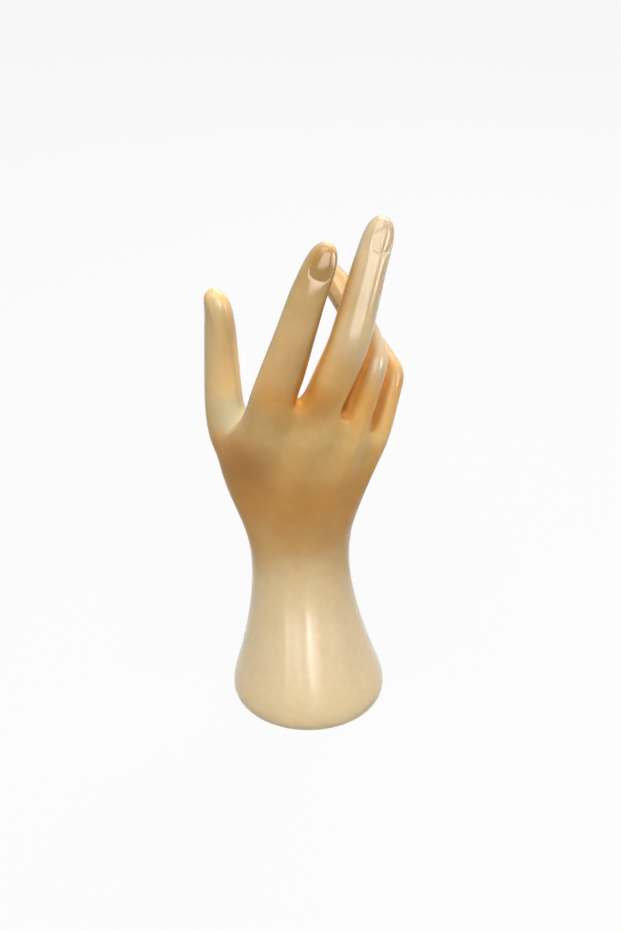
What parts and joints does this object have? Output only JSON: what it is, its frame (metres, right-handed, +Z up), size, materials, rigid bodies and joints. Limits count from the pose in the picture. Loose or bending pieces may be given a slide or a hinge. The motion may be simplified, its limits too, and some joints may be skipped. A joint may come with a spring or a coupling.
{
  "type": "display hand",
  "caption": "Rigid hollow moulded-plastic display hand, a right hand with two bent fingers, standing upright on its own flared and weighted round foot.",
  "frame": {"origin": "middle of the foot pad's underside, on the surface that the hand stands on", "axes": "+Z up along the hand, -Y the way that the back of the hand faces, +Y the palm, -X the thumb"},
  "size_m": [0.0986, 0.0822, 0.2708],
  "materials": {
    "skin_plastic": "glossy, slightly translucent",
    "plate_plastic": "matt",
    "zinc_steel": "zinc plated",
    "cast_ballast": "as cast",
    "pad_rubber": "matt"
  },
  "bodies": {
    "root": {"back_shell": "skin_plastic", "palm_shell": "skin_plastic", "base_plate": "plate_plastic", "base_screws": "zinc_steel", "ballast_weight": "cast_ballast", "ballast_bolt": "zinc_steel", "ballast_washer": "zinc_steel", "ballast_nut": "zinc_steel", "foot_pad": "pad_rubber"}
  },
  "joints": []
}
